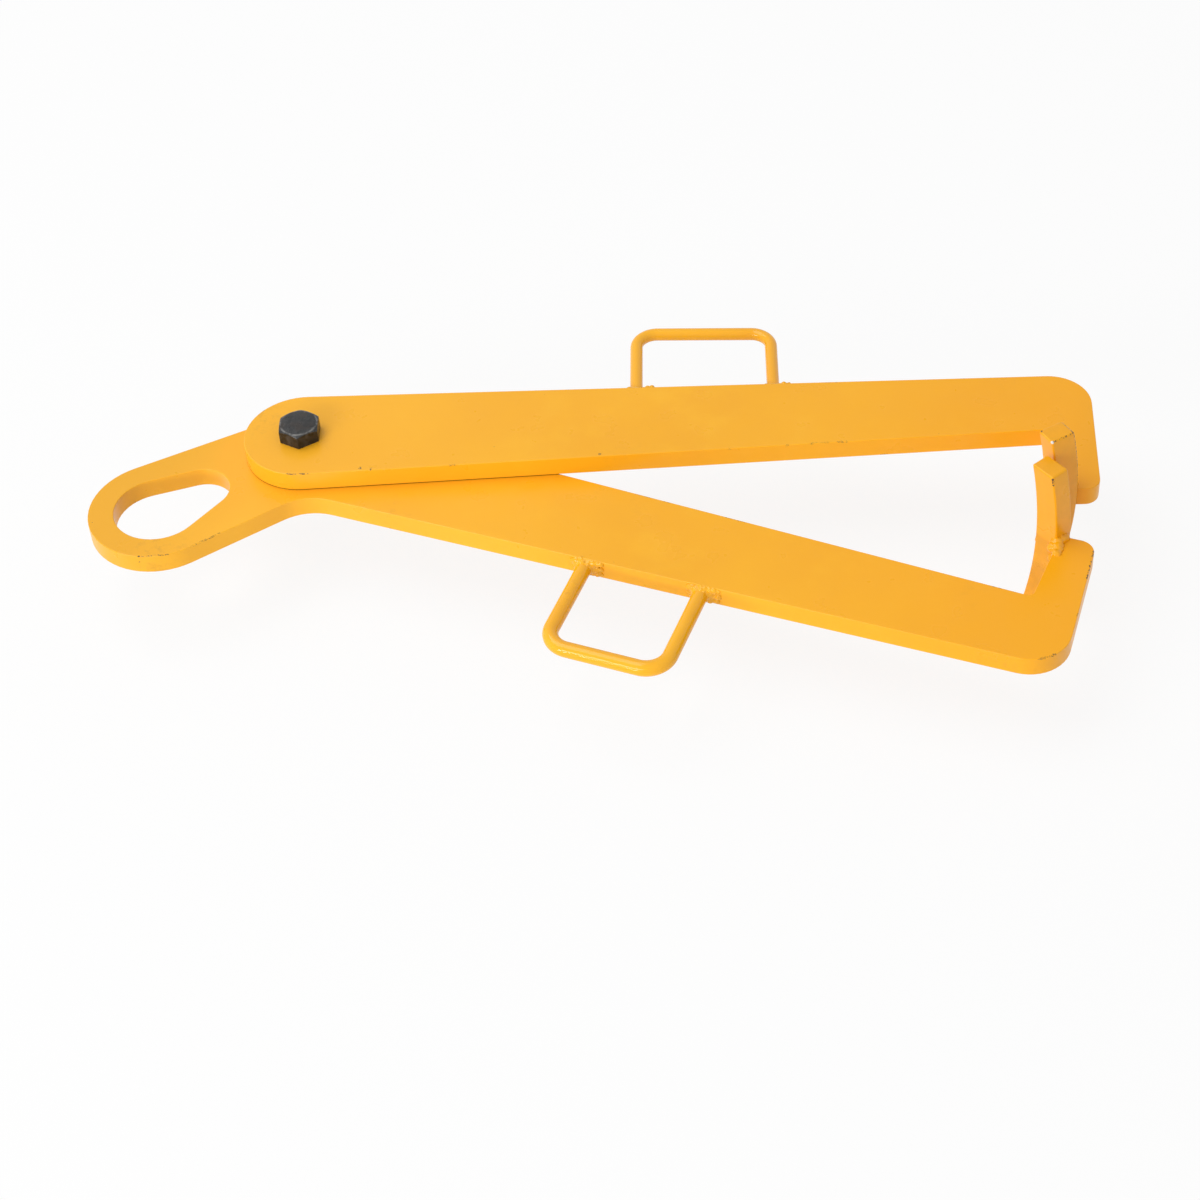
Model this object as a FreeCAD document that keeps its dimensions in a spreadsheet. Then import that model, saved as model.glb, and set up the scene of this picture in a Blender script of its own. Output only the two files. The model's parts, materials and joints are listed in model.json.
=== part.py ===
"""Lifting tongs: two flat steel arms on one pivot bolt, with a lifting eye, jaws and hand grips.

Millimetres and degrees, +Z up. The origin is the centre of the lifting eye, half way through the
lower arm's plate. The tongs lie closed on their side: +X runs between the two arms, from the pivot to
where the jaws meet, and the pivot's axis is along Z.
Each arm is drawn in its own frame: x along the arm's straight outer edge, starting at the pivot's
axis, and y across it. The arms mirror each other, so `side` is +1 for the upper arm, whose outer
edge is on +Y, and -1 for the lower arm.
"""
import FreeCAD, Part
import os
import Sketcher

SIZES = {
    # the two arms, cut from plate
    "plate_thickness": 16.0,
    "plate_gap": 0.3,
    "pivot_end_radius": 46.0,
    "upper_end_setback": 2.0,
    "arm_length": 616.3,
    "arm_taper": 2.75,
    "end_slant": 3.1,
    "outer_corner_radius": 32.0,
    "hook_depth": 87.0,
    "hook_root_width": 35.3,
    "hook_tip_width": 27.2,
    "hook_tip_radius": 12.0,
    "hook_root_radius": 5.0,
    # the lifting eye on the lower arm
    "eye_distance": 123.1,
    "eye_bend": 50.9,
    "eye_outer_radius": 53.3,
    "eye_hole_radius": 33.8,
    "eye_neck_radius": 22.7,
    "eye_neck_offset": 36.9,
    "eye_slot_turn": 4.2,
    "eye_fillet_radius": 40.0,
    # the pivot bolt, its washer and its lock nut
    "bolt_diameter": 20.0,
    "bolt_across_flats": 30.0,
    "bolt_head_height": 12.5,
    "bolt_grip_spare": 5.0,
    "bolt_turn": 41.0,
    "bolt_end_chamfer": 1.5,
    "head_chamfer_angle": 30.0,
    "head_land_share": 0.95,
    "hinge_clearance": 0.05,
    "washer_diameter": 37.0,
    "washer_thickness": 3.0,
    "washer_clearance": 0.5,
    "nut_across_flats": 30.0,
    "nut_hex_height": 14.0,
    "nut_collar_height": 6.0,
    "nut_collar_diameter": 27.0,
    "nut_turn": 12.0,
    "insert_diameter": 24.0,
    "insert_thickness": 4.5,
    "thread_clearance": 0.05,
    # the two hand grips of bent round bar
    "upper_rod_diameter": 10.0,
    "upper_handle_start": 261.5,
    "upper_handle_width": 108.5,
    "upper_handle_reach": 76.0,
    "upper_handle_skew": 4.0,
    "upper_bend_radius": 16.5,
    "lower_rod_diameter": 12.0,
    "lower_handle_start": 254.5,
    "lower_handle_width": 92.0,
    "lower_handle_reach": 85.0,
    "lower_handle_skew": -1.0,
    "lower_bend_radius": 18.0,
    "handle_weld_length": 27.0,
    "handle_weld_rise": 5.0,
    "handle_weld_margin": 1.6,
    "handle_weld_taper": 14.0,
    # the two jaw bars and their welds
    "upper_jaw_setback": 8.2,
    "lower_jaw_setback": 11.3,
    "upper_jaw_overhang": 11.84,
    "lower_jaw_overhang": 15.3,
    "jaw_gap": 1.0,
    "jaw_width": 21.0,
    "jaw_thickness": 16.0,
    "jaw_turn": 31.0,
    "upper_jaw_rise": 65.5,
    "upper_jaw_drop": 46.0,
    "lower_jaw_rise": 71.0,
    "lower_jaw_drop": 71.0,
    "jaw_bow": 7.0,
    "jaw_weld_leg": 5.0,
}

doc = FreeCAD.newDocument("lifting_tongs")
sheet = doc.addObject("Spreadsheet::Sheet", "Sizes")
for row, (alias, size) in enumerate(SIZES.items(), start=1):
    sheet.set(f"A{row}", alias)
    sheet.set(f"B{row}", str(size))
    sheet.setAlias(f"B{row}", alias)
doc.recompute()


def cell(alias):
    """A size of the sheet, as an expression."""
    return f"Sizes.{alias}"


def angle(alias):
    """An angle of the sheet, as an expression with its unit."""
    return f"(Sizes.{alias} * 1 deg)"


UPPER, LOWER = 1, -1
THICKNESS = cell("plate_thickness")
LOWER_PLATE_Z = f"-{THICKNESS} / 2"
LOWER_FACE_Z = f"{THICKNESS} / 2"
UPPER_PLATE_Z = f"{THICKNESS} / 2 + Sizes.plate_gap"
UPPER_FACE_Z = f"{THICKNESS} * 3 / 2 + Sizes.plate_gap"
NUT_TOP_Z = f"{LOWER_PLATE_Z} - Sizes.washer_thickness"
BOLT_RADIUS = "(Sizes.bolt_diameter / 2)"
BOLT_HOLE_RADIUS = "(Sizes.bolt_diameter / 2 + Sizes.hinge_clearance)"
NUT_BORE_RADIUS = "(Sizes.bolt_diameter / 2 + Sizes.thread_clearance)"
# How far out a hexagon's chamfer is cut, in widths across flats: past the corners, which lie at 0.58.
CHAMFER_REACH = 0.7
SAME_SPOT = 1e-3


# The plan of the arms and jaws, from which the closed pose follows

def end_x(y):
    """Where the slanted end edge of an arm lies, at a height y across the arm."""
    return f"({cell('arm_length')} + ({y}) * tan({angle('end_slant')}))"


TIP_Y = f"(-{cell('hook_depth')})"
OUTER_CORNER = (end_x(cell("pivot_end_radius")), cell("pivot_end_radius"))
TIP_CORNER = (end_x(TIP_Y), TIP_Y)
INNER_TIP = (f"{end_x(TIP_Y)} - {cell('hook_tip_width')}", TIP_Y)


def bite_edge(side):
    """The middle of a jaw's biting edge, in its arm's frame.

    It lies back from the hook's inner tip and stands out past the hook's tip edge.
    """
    arm = "upper" if side == UPPER else "lower"
    return f"({INNER_TIP[0]} - {cell(f'{arm}_jaw_setback')})", f"({TIP_Y} - {cell(f'{arm}_jaw_overhang')})"


def closed_turn(side):
    """The angle between an arm and the X axis when the jaws' edges are half the gap from that axis.

    The bars are bowed, so their ends are what meets.
    """
    middle_x, y = bite_edge(side)
    x = f"({middle_x} - {cell('jaw_bow')})"
    return f"(atan(-{y} / {x}) + asin({cell('jaw_gap')} / 2 / sqrt({x}^2 + {y}^2)))"


EYE_LEAN = f"({angle('eye_bend')} - {closed_turn(LOWER)})"
PIVOT_X = f"Sizes.eye_distance * cos({EYE_LEAN})"
PIVOT_Y = f"Sizes.eye_distance * sin({EYE_LEAN})"


# Helpers: sketches whose points and radii are bound to the sheet

def new_body(label):
    body = doc.addObject("PartDesign::Body", label)
    body.Label = label
    return body


def place(part, z, side=0):
    """Puts a piece at the pivot's axis, at height z, turned to its arm's angle in the closed tongs."""
    turn_axis = FreeCAD.Vector(0, 0, -1 if side == LOWER else 1)
    part.Placement = FreeCAD.Placement(FreeCAD.Vector(), FreeCAD.Rotation(turn_axis, 0))
    part.setExpression("Placement.Base.x", PIVOT_X)
    part.setExpression("Placement.Base.y", PIVOT_Y)
    part.setExpression("Placement.Base.z", z)
    if side:
        turn = part.evalExpression(closed_turn(side)).Value
        part.Placement.Rotation = FreeCAD.Rotation(turn_axis, turn)
        part.setExpression("Placement.Rotation.Angle", closed_turn(side))


def new_sketch(body, name, plane="XY_Plane", offset=None):
    sketch = body.newObject("Sketcher::SketchObject", name)
    support = [feature for feature in body.Origin.OriginFeatures if feature.Role == plane][0]
    sketch.AttachmentSupport = [(support, "")]
    sketch.MapMode = "FlatFace"
    if offset:
        sketch.setExpression("AttachmentOffset.Base.z", offset)
    return sketch


def amount(sketch, expression):
    """The present number of an expression, for a sketch's first guess."""
    return float(sketch.evalExpression(expression))


def bind(sketch, constraint, expression):
    index = sketch.addConstraint(constraint)
    sketch.setExpression(f"Constraints[{index}]", expression)


def pin(sketch, geometry, point, x, y):
    """Ties a point of a sketch to two expressions, measured from the sketch's origin."""
    origin = (-1, 1)
    for kind, expression in (("DistanceX", x), ("DistanceY", y)):
        distance = amount(sketch, expression)
        bind(sketch, Sketcher.Constraint(kind, *origin, geometry, point, distance), expression)


def outline(sketch, corners):
    """A closed outline of straight edges through corners given as pairs of expressions."""
    spots = [FreeCAD.Vector(amount(sketch, x), amount(sketch, y), 0) for x, y in corners]
    edges = []
    for start, end in zip(spots, spots[1:] + spots[:1]):
        edges.append(sketch.addGeometry(Part.LineSegment(start, end), False))
    for edge, following in zip(edges, edges[1:] + edges[:1]):
        sketch.addConstraint(Sketcher.Constraint("Coincident", edge, 2, following, 1))
    for edge, (x, y) in zip(edges, corners):
        pin(sketch, edge, 1, x, y)


def circle(sketch, x, y, radius):
    centre = FreeCAD.Vector(amount(sketch, x), amount(sketch, y), 0)
    ring = Part.Circle(centre, FreeCAD.Vector(0, 0, 1), amount(sketch, radius))
    geometry = sketch.addGeometry(ring, False)
    pin(sketch, geometry, 3, x, y)
    bind(sketch, Sketcher.Constraint("Radius", geometry, amount(sketch, radius)), radius)


def hexagon(sketch, across_flats, turn):
    """A hexagon about the sketch's origin, with one corner in the direction of turn."""
    corners = []
    for step in range(6):
        direction = f"({angle(turn)} + {60 * step} deg)"
        radius = f"{cell(across_flats)} / sqrt(3)"
        corners.append((f"{radius} * cos({direction})", f"{radius} * sin({direction})"))
    outline(sketch, corners)


def pad(body, sketch, length, taper=None, reverse=False):
    feature = body.newObject("PartDesign::Pad", f"{sketch.Name}_pad")
    feature.Profile = sketch
    feature.setExpression("Length", length)
    feature.Reversed = reverse
    if taper:
        feature.setExpression("TaperAngle", f"-{taper}")
    doc.recompute()
    return feature


def cut_through(body, sketch):
    """Cuts a sketch on the base plane through everything above and below it."""
    before = body.Shape.Volume
    feature = body.newObject("PartDesign::Pocket", f"{sketch.Name}_cut")
    feature.Profile = sketch
    feature.Type = "ThroughAll"
    feature.Midplane = True
    doc.recompute()
    assert body.Shape.Volume < before, f"{sketch.Name} cuts nothing"
    return feature


def round_edge(body, spot, radius):
    """Rounds the upright edge of a plate that stands at a pair of expressions."""
    base = body.Tip
    sketch = body.Group[0]
    foot = FreeCAD.Vector(amount(sketch, spot[0]), amount(sketch, spot[1]), 0)
    names = []
    for number, edge in enumerate(base.Shape.Edges, start=1):
        ends = [FreeCAD.Vector(vertex.X, vertex.Y, 0) for vertex in edge.Vertexes]
        if len(ends) == 2 and all(end.distanceToPoint(foot) < SAME_SPOT for end in ends):
            names.append(f"Edge{number}")
    assert len(names) == 1, f"{body.Label}: the edge to round is not found"
    fillet = body.newObject("PartDesign::Fillet", f"{body.Label}_round")
    fillet.Base = (base, names)
    fillet.setExpression("Radius", radius)
    doc.recompute()


def revolved_cut(body, sketch):
    """Turns a sketch of the XZ plane once round the Z axis and cuts it away."""
    before = body.Shape.Volume
    groove = body.newObject("PartDesign::Groove", f"{sketch.Name}_cut")
    groove.Profile = sketch
    axis = [feature for feature in body.Origin.OriginFeatures if feature.Role == "Z_Axis"][0]
    groove.ReferenceAxis = (axis, [""])
    groove.Angle = 360
    doc.recompute()
    assert body.Shape.Volume < before, f"{sketch.Name} cuts nothing"


# The arms

def mirrored(expression, side):
    return expression if side == UPPER else f"-({expression})"


def end_centre_x(side):
    """The round end's centre, from the bolt's axis. The upper arm's hole sits nearer its end."""
    return cell("upper_end_setback") if side == UPPER else "0"


def hook_root(side):
    """The inside corner of the hook: on the tapered inner edge, the root's width back from the end edge."""
    taper = f"tan({angle('arm_taper')})"
    drop = f"({cell('pivot_end_radius')} / cos({angle('arm_taper')}) + {end_centre_x(side)} * {taper})"
    y = (f"((({cell('arm_length')} - {cell('hook_root_width')}) * {taper} - {drop})"
         f" / (1 - tan({angle('end_slant')}) * {taper}))")
    return f"{end_x(y)} - {cell('hook_root_width')}", y


def arm_corners(side):
    inner_edge_start = (f"{end_centre_x(side)} + {cell('pivot_end_radius')} * sin({angle('arm_taper')})",
                        f"-{cell('pivot_end_radius')} * cos({angle('arm_taper')})")
    return [(end_centre_x(side), cell("pivot_end_radius")), OUTER_CORNER, TIP_CORNER, INNER_TIP,
            hook_root(side), inner_edge_start]


EYE_X = f"(-{cell('eye_distance')} * cos({angle('eye_bend')}))"
EYE_Y = f"(-{cell('eye_distance')} * sin({angle('eye_bend')}))"


def arm_outline(body, name, side):
    sketch = new_sketch(body, name)
    outline(sketch, [(x, mirrored(y, side)) for x, y in arm_corners(side)])
    return sketch


def belt_corners(near_radius, far_radius, far_distance, direction, middle):
    """Corners of the straight-sided strip that joins two circles along their outer tangents.

    The near circle is about `middle`, the far one lies far_distance away in the given direction.
    """
    lean = f"asin(({far_radius} - {near_radius}) / {far_distance})"
    corners = []
    for turn in (1, -1):
        normal = f"({direction} + {turn} * (90 deg + {lean}))"
        near_x = f"{middle[0]} + {near_radius} * cos({normal})"
        near_y = f"{middle[1]} + {near_radius} * sin({normal})"
        far_x = f"{middle[0]} + {far_distance} * cos({direction}) + {far_radius} * cos({normal})"
        far_y = f"{middle[1]} + {far_distance} * sin({direction}) + {far_radius} * sin({normal})"
        corners.append([(near_x, near_y), (far_x, far_y)])
    return [corners[0][0], corners[0][1], corners[1][1], corners[1][0]]


def build_arm(label, side, base_z):
    body = new_body(label)
    pad(body, arm_outline(body, f"{label}_outline", side), THICKNESS)
    disc = new_sketch(body, f"{label}_pivot_end")
    circle(disc, end_centre_x(side), "0", cell("pivot_end_radius"))
    pad(body, disc, THICKNESS)
    if side == LOWER:
        add_eye(body)
    hole = new_sketch(body, f"{label}_bolt_hole")
    circle(hole, "0", "0", BOLT_HOLE_RADIUS)
    cut_through(body, hole)
    for (x, y), radius in ((OUTER_CORNER, "outer_corner_radius"), (TIP_CORNER, "hook_tip_radius"),
                           (hook_root(side), "hook_root_radius")):
        round_edge(body, (x, mirrored(y, side)), cell(radius))
    place(body, base_z, side)
    return body


def add_eye(body):
    """The pear-shaped lifting eye, on a neck that bends away from the lower arm."""
    towards_eye = f"({angle('eye_bend')} + 180 deg)"
    neck = belt_corners(cell("pivot_end_radius"), cell("eye_outer_radius"), cell("eye_distance"),
                        towards_eye, ("0", "0"))
    neck_sketch = new_sketch(body, "eye_neck")
    outline(neck_sketch, neck)
    pad(body, neck_sketch, THICKNESS)
    ring = new_sketch(body, "eye_ring")
    circle(ring, EYE_X, EYE_Y, cell("eye_outer_radius"))
    pad(body, ring, THICKNESS)
    round_edge(body, neck_meets_edge(neck), cell("eye_fillet_radius"))
    wide = new_sketch(body, "eye_hole")
    circle(wide, EYE_X, EYE_Y, cell("eye_hole_radius"))
    cut_through(body, wide)
    along_slot = f"({angle('eye_bend')} + {angle('eye_slot_turn')})"
    slot = new_sketch(body, "eye_slot")
    outline(slot, belt_corners(cell("eye_hole_radius"), cell("eye_neck_radius"), cell("eye_neck_offset"),
                               along_slot, (EYE_X, EYE_Y)))
    cut_through(body, slot)
    narrow = new_sketch(body, "eye_slot_end")
    circle(narrow, f"{EYE_X} + {cell('eye_neck_offset')} * cos({along_slot})",
           f"{EYE_Y} + {cell('eye_neck_offset')} * sin({along_slot})", cell("eye_neck_radius"))
    cut_through(body, narrow)


def neck_meets_edge(neck):
    """Where the neck's near side crosses the line of the lower arm's outer edge."""
    (near_x, near_y), (far_x, far_y) = neck[0], neck[1]
    edge_y = f"(-{cell('pivot_end_radius')})"
    share = f"(({edge_y} - ({near_y})) / (({far_y}) - ({near_y})))"
    return f"({near_x}) + {share} * (({far_x}) - ({near_x}))", edge_y


# The pivot bolt, washer and lock nut

def chamfer_hexagon(body, name, across_flats, face_z, inward):
    """Cuts the corners of a hexagon back to a cone at its end face. inward is +1 or -1 along Z."""
    land = f"({cell(across_flats)} / 2 * {cell('head_land_share')})"
    reach = f"({cell(across_flats)} * {CHAMFER_REACH})"
    fall = f"(({reach} - {land}) * tan({angle('head_chamfer_angle')}))"
    low = f"{face_z} + {inward} * {fall}"
    sketch = new_sketch(body, name, "XZ_Plane")
    outline(sketch, [(land, face_z), (reach, face_z), (reach, low)])
    revolved_cut(body, sketch)


def build_bolt():
    body = new_body("pivot_bolt")
    head = new_sketch(body, "bolt_head")
    hexagon(head, "bolt_across_flats", "bolt_turn")
    pad(body, head, cell("bolt_head_height"))
    chamfer_hexagon(body, "bolt_head_chamfer", "bolt_across_flats", cell("bolt_head_height"), -1)
    shank = new_sketch(body, "bolt_shank")
    circle(shank, "0", "0", BOLT_RADIUS)
    length = (f"2 * {THICKNESS} + {cell('plate_gap')} + {cell('washer_thickness')}"
              f" + {cell('nut_hex_height')} + {cell('nut_collar_height')} + {cell('bolt_grip_spare')}")
    pad(body, shank, length, reverse=True)
    end = new_sketch(body, "bolt_end", "XZ_Plane")
    size = cell("bolt_end_chamfer")
    outline(end, [(f"{BOLT_RADIUS} - {size}", f"-({length})"), (f"{BOLT_RADIUS} + {size}", f"-({length})"),
                  (f"{BOLT_RADIUS} + {size}", f"-({length}) + 2 * {size}")])
    revolved_cut(body, end)
    place(body, UPPER_FACE_Z)
    return body


def build_washer():
    body = new_body("nut_washer")
    ring = new_sketch(body, "washer_ring")
    circle(ring, "0", "0", "Sizes.washer_diameter / 2")
    circle(ring, "0", "0", f"{BOLT_RADIUS} + {cell('washer_clearance')}")
    pad(body, ring, cell("washer_thickness"))
    place(body, NUT_TOP_Z)
    return body


INSERT_TOP = f"{cell('nut_hex_height')} + {cell('nut_collar_height')} - {cell('insert_thickness')}"


def build_nut():
    """The hexagon lies against the washer; the round collar below it holds the plastic ring."""
    body = new_body("lock_nut")
    block = new_sketch(body, "nut_block")
    hexagon(block, "nut_across_flats", "nut_turn")
    pad(body, block, cell("nut_hex_height"), reverse=True)
    chamfer_hexagon(body, "nut_lower_chamfer", "nut_across_flats", f"-{cell('nut_hex_height')}", 1)
    collar = new_sketch(body, "nut_collar")
    circle(collar, "0", "0", "Sizes.nut_collar_diameter / 2")
    pad(body, collar, f"{cell('nut_hex_height')} + {cell('nut_collar_height')}", reverse=True)
    bore = new_sketch(body, "nut_bore")
    circle(bore, "0", "0", NUT_BORE_RADIUS)
    cut_through(body, bore)
    seat = new_sketch(body, "insert_seat", offset=f"-({INSERT_TOP})")
    circle(seat, "0", "0", "Sizes.insert_diameter / 2")
    before = body.Shape.Volume
    recess = body.newObject("PartDesign::Pocket", "insert_recess")
    recess.Profile = seat
    recess.Type = "ThroughAll"
    doc.recompute()
    assert body.Shape.Volume < before, "the recess for the plastic ring cuts nothing"
    place(body, NUT_TOP_Z)
    return body


def build_insert():
    body = new_body("nut_insert")
    ring = new_sketch(body, "insert_ring", offset=f"-({INSERT_TOP})")
    circle(ring, "0", "0", f"Sizes.insert_diameter / 2 - {cell('thread_clearance')}")
    circle(ring, "0", "0", NUT_BORE_RADIUS)
    pad(body, ring, cell("insert_thickness"), reverse=True)
    place(body, NUT_TOP_Z)
    return body


# The hand grips

def build_handle(name, side, plate_z):
    """A round bar bent into a loop, with its two legs square to the arm's outer edge."""
    body = new_body(f"{name}_handle")
    near = cell(f"{name}_handle_start")
    far = f"({near} + {cell(f'{name}_handle_width')})"
    bend = cell(f"{name}_bend_radius")
    rod_radius = f"Sizes.{name}_rod_diameter / 2"
    foot = cell("pivot_end_radius")
    near_top = f"({foot} + {cell(f'{name}_handle_reach')})"
    skew = cell(f"{name}_handle_skew")
    middle_z = f"{THICKNESS} / 2"
    path = new_sketch(body, f"{name}_handle_path", offset=middle_z)
    loop_path(path, near, far, foot, near_top, skew, bend, side)
    section = new_sketch(body, f"{name}_handle_section", "XZ_Plane", offset=f"-({mirrored(foot, side)})")
    circle(section, near, middle_z, rod_radius)
    doc.recompute()
    pipe = body.newObject("PartDesign::AdditivePipe", f"{name}_handle_bar")
    pipe.Profile = section
    pipe.Spine = (path, [])
    doc.recompute()
    place(body, plate_z, side)
    return body


def loop_path(sketch, near, far, foot, near_top, skew, bend, side):
    """Two straight legs and a straight top with round bends. The far leg is shorter by the skew."""
    far_top = f"({near_top} - {skew})"
    slope = f"atan(-{skew} / ({far} - {near}))"
    near_cut = f"({bend} * tan((90 deg - {slope}) / 2))"
    far_cut = f"({bend} * tan((90 deg + {slope}) / 2))"
    spots = [(near, foot),
             (near, f"{near_top} - {near_cut}"),
             (f"{near} + {near_cut} * cos({slope})", f"{near_top} + {near_cut} * sin({slope})"),
             (f"{far} - {far_cut} * cos({slope})", f"{far_top} - {far_cut} * sin({slope})"),
             (far, f"{far_top} - {far_cut}"),
             (far, foot)]
    spots = [(x, mirrored(y, side)) for x, y in spots]
    points = [FreeCAD.Vector(amount(sketch, x), amount(sketch, y), 0) for x, y in spots]
    corners = [FreeCAD.Vector(amount(sketch, x), amount(sketch, mirrored(y, side)), 0)
               for x, y in ((near, near_top), (far, far_top))]
    legs = []
    for first in (0, 2, 4):
        legs.append(sketch.addGeometry(Part.LineSegment(points[first], points[first + 1]), False))
    for first, corner in zip((1, 3), corners):
        start, end = points[first], points[first + 1]
        # Drawn anticlockwise, an arc starts at the end of the leg before it on the lower arm only.
        arc_ends = (2, 1) if side == UPPER else (1, 2)
        middle = bend_middle(start, end, corner, amount(sketch, bend))
        arc = sketch.addGeometry(Part.Arc(start, middle, end), False)
        before, after = (legs[0], legs[1]) if first == 1 else (legs[1], legs[2])
        sketch.addConstraint(Sketcher.Constraint("Coincident", before, 2, arc, arc_ends[0]))
        sketch.addConstraint(Sketcher.Constraint("Coincident", arc, arc_ends[1], after, 1))
        bind(sketch, Sketcher.Constraint("Radius", arc, amount(sketch, bend)), bend)
    for leg, first in zip(legs, (0, 2, 4)):
        pin(sketch, leg, 1, *spots[first])
        pin(sketch, leg, 2, *spots[first + 1])


def bend_middle(start, end, corner, radius):
    """The point half way round a bend that is tangent to two lines meeting at a corner."""
    chord_middle = (start + end) * 0.5
    inward = chord_middle - corner
    cut = start.distanceToPoint(corner)
    to_middle = (radius ** 2 + cut ** 2) ** 0.5 - radius
    return corner + inward * (to_middle / inward.Length)


def build_handle_weld(name, side, plate_z, end):
    """A weld bead round one leg's foot, longer along the arm's edge than across it."""
    body = new_body(f"{name}_handle_weld_{end}")
    leg = cell(f"{name}_handle_start")
    if end == "far":
        leg = f"({leg} + {cell(f'{name}_handle_width')})"
    rod_radius = f"Sizes.{name}_rod_diameter / 2"
    half_height = f"({rod_radius} + {cell('handle_weld_margin')})"
    straight = f"({cell('handle_weld_length')} / 2 - {half_height})"
    foot = mirrored(cell("pivot_end_radius"), side)
    sketch = new_sketch(body, f"{body.Label}_foot", "XZ_Plane", offset=f"-({foot})")
    obround(sketch, leg, f"{THICKNESS} / 2", straight, half_height)
    pad(body, sketch, cell("handle_weld_rise"), taper=cell("handle_weld_taper"), reverse=side == UPPER)
    hole = new_sketch(body, f"{body.Label}_hole", "XZ_Plane", offset=f"-({foot})")
    circle(hole, leg, f"{THICKNESS} / 2", rod_radius)
    cut_through(body, hole)
    place(body, plate_z, side)
    return body


def obround(sketch, x, y, straight, radius):
    """A slot shape: two half circles, their centres `straight` to each side of the middle."""
    left, right = amount(sketch, f"{x} - {straight}"), amount(sketch, f"{x} + {straight}")
    middle, half = amount(sketch, y), amount(sketch, radius)
    up = FreeCAD.Vector(0, half, 0)
    out = FreeCAD.Vector(half, 0, 0)
    near, far = FreeCAD.Vector(left, middle, 0), FreeCAD.Vector(right, middle, 0)
    top = sketch.addGeometry(Part.LineSegment(near + up, far + up), False)
    cap = sketch.addGeometry(Part.Arc(far - up, far + out, far + up), False)
    base = sketch.addGeometry(Part.LineSegment(far - up, near - up), False)
    tail = sketch.addGeometry(Part.Arc(near + up, near - out, near - up), False)
    sketch.addConstraint(Sketcher.Constraint("Coincident", top, 2, cap, 2))
    sketch.addConstraint(Sketcher.Constraint("Coincident", base, 1, cap, 1))
    sketch.addConstraint(Sketcher.Constraint("Coincident", base, 2, tail, 2))
    sketch.addConstraint(Sketcher.Constraint("Coincident", top, 1, tail, 1))
    pin(sketch, top, 1, f"{x} - {straight}", f"{y} + {radius}")
    pin(sketch, top, 2, f"{x} + {straight}", f"{y} + {radius}")
    pin(sketch, base, 1, f"{x} + {straight}", f"{y} - {radius}")
    pin(sketch, base, 2, f"{x} - {straight}", f"{y} - {radius}")
    for arc, centre in ((cap, f"{x} + {straight}"), (tail, f"{x} - {straight}")):
        distance = amount(sketch, centre)
        bind(sketch, Sketcher.Constraint("DistanceX", -1, 1, arc, 3, distance), centre)


# The jaws

# A fillet weld's face slopes as much as it rises.
WELD_SLOPE = "45"


def jaw_corners(side, margin):
    """Corners of the jaw bar's section half way along it, or of a rectangle that stands out by a margin."""
    turn = angle("jaw_turn")
    bite_x, bite_y = bite_edge(side)
    corners = []
    for along, across in ((0, 0), (1, 0), (1, 1), (0, 1)):
        wide = f"({along} * {cell('jaw_width')} + {2 * along - 1} * {margin})"
        deep = f"({across} * {cell('jaw_thickness')} + {2 * across - 1} * {margin})"
        x = f"{bite_x} + {wide} * cos({turn}) - {deep} * sin({turn})"
        y = f"{bite_y} + {wide} * sin({turn}) + {deep} * cos({turn})"
        corners.append((x, mirrored(y, side)))
    return corners


# Where along a jaw its sections are drawn, from its lower end at 0 to its upper end at 1.
JAW_SHARES = (0, 0.25, 0.5, 0.75, 1)


def build_jaw(name, side, plate_z):
    """A bar through the hook's tip, bowed so that both ends come back towards the pivot.

    One of its long edges is turned to the other jaw. The upper end comes back by the bow.
    """
    body = new_body(f"{name}_jaw")
    rise, drop = cell(f"{name}_jaw_rise"), cell(f"{name}_jaw_drop")
    sections = []
    for number, share in enumerate(JAW_SHARES, start=1):
        level = f"({share} * ({rise} + {drop}) - {drop})"
        section = new_sketch(body, f"{name}_jaw_section_{number}", offset=level)
        shift = f"({level} / {rise})^2 * {cell('jaw_bow')}"
        outline(section, [(f"{x} - {shift}", y) for x, y in jaw_corners(side, "0")])
        sections.append(section)
    bar = body.newObject("PartDesign::AdditiveLoft", f"{name}_jaw_bar")
    bar.Profile = sections[0]
    bar.Sections = sections[1:]
    doc.recompute()
    place(body, f"{plate_z} + {THICKNESS} / 2", side)
    return body


def notch(arm, jaw):
    """An arm with the place for its jaw bar taken out of the hook's tip."""
    notched = doc.addObject("Part::Cut", f"{arm.Label}_notched")
    label = arm.Label
    arm.Label = f"{label}_plate"
    notched.Label = label
    notched.Base = arm
    notched.Tool = jaw
    doc.recompute()
    return notched


def build_jaw_weld(name, side, face_z, jaw):
    """The fillet weld round the bar, where the hook's upper face is under it."""
    leg = cell("jaw_weld_leg")
    bead = new_body(f"{name}_jaw_bead")
    foot = new_sketch(bead, f"{name}_bead_foot")
    outline(foot, jaw_corners(side, leg))
    pad(bead, foot, leg, taper=WELD_SLOPE)
    place(bead, face_z, side)
    cover = new_body(f"{name}_hook_cover")
    pad(cover, arm_outline(cover, f"{name}_cover_outline", side), f"2 * {leg}")
    place(cover, face_z, side)
    on_hook = doc.addObject("Part::Common", f"{name}_bead_on_hook")
    on_hook.Base = bead
    on_hook.Tool = cover
    weld = doc.addObject("Part::Cut", f"{name}_jaw_weld")
    weld.Label = f"{name}_jaw_weld"
    weld.Base = on_hook
    weld.Tool = jaw
    doc.recompute()
    return weld


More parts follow.
